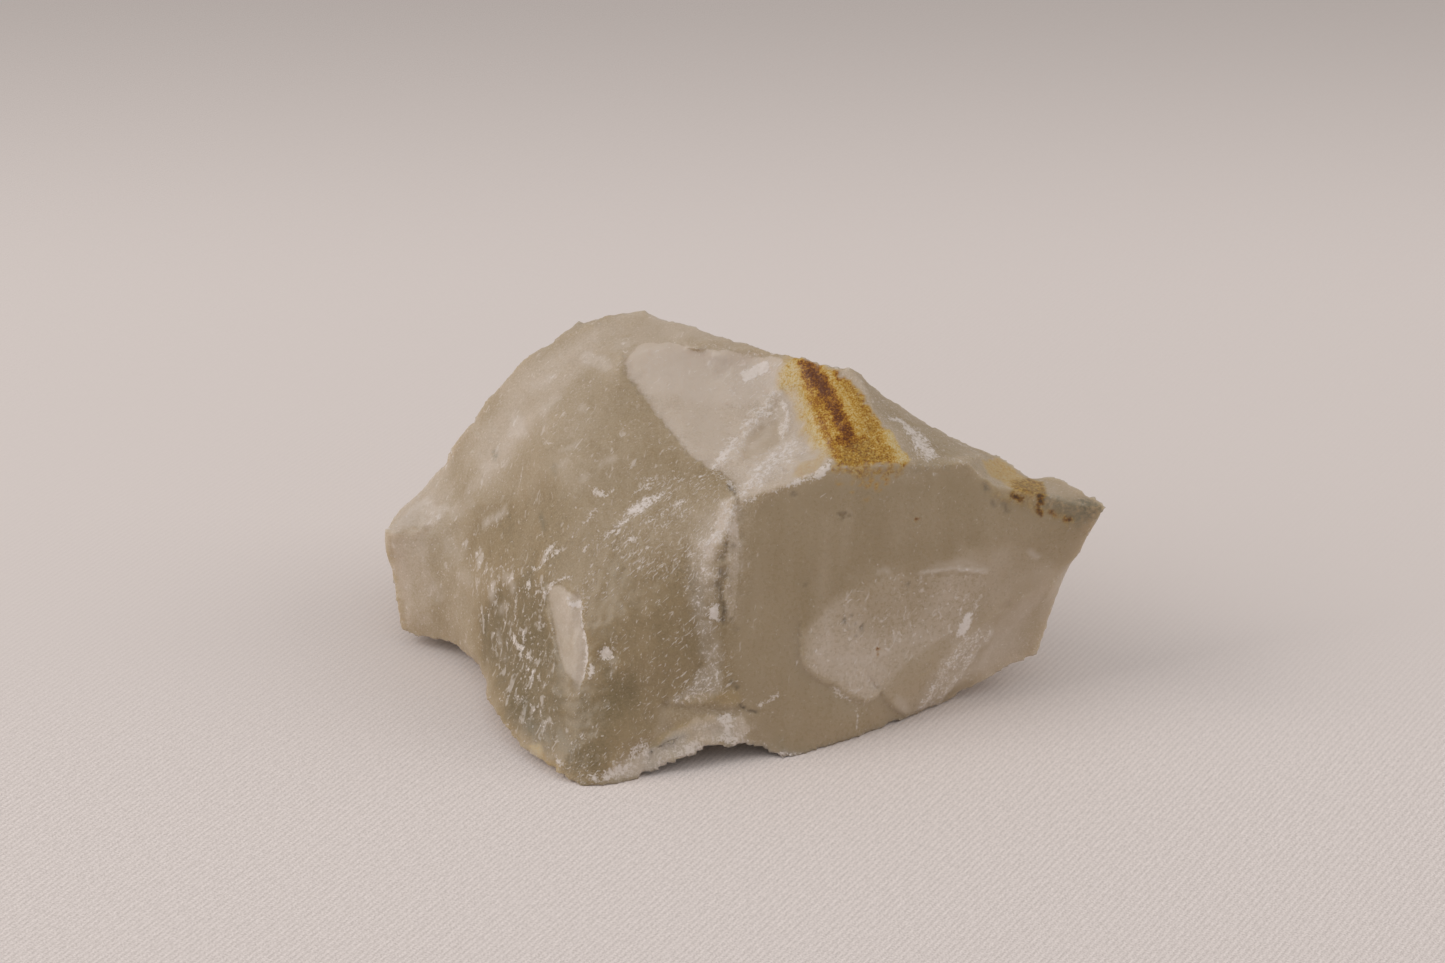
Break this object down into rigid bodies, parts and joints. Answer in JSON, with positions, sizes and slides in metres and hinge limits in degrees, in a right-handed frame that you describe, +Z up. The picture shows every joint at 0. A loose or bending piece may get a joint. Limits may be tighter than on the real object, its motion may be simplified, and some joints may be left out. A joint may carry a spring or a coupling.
{
  "type": "aragonite specimen",
  "caption": "Rough hand specimen of milky, faintly see-through mineral with broken faces and a rusty vein; rests on a flat spot for display.",
  "frame": {"origin": "centre of the stone's footprint, on the surface it rests on", "axes": "+X along the stone towards its pointed tip, +Y towards the back behind the peak, +Z up"},
  "size_m": [0.0828, 0.0562, 0.0382],
  "materials": {
    "milky_aragonite": "milky, waxy broken stone, with white frosted rims and an iron-stained vein"
  },
  "bodies": {
    "root": {"stone": "milky_aragonite"}
  },
  "joints": []
}
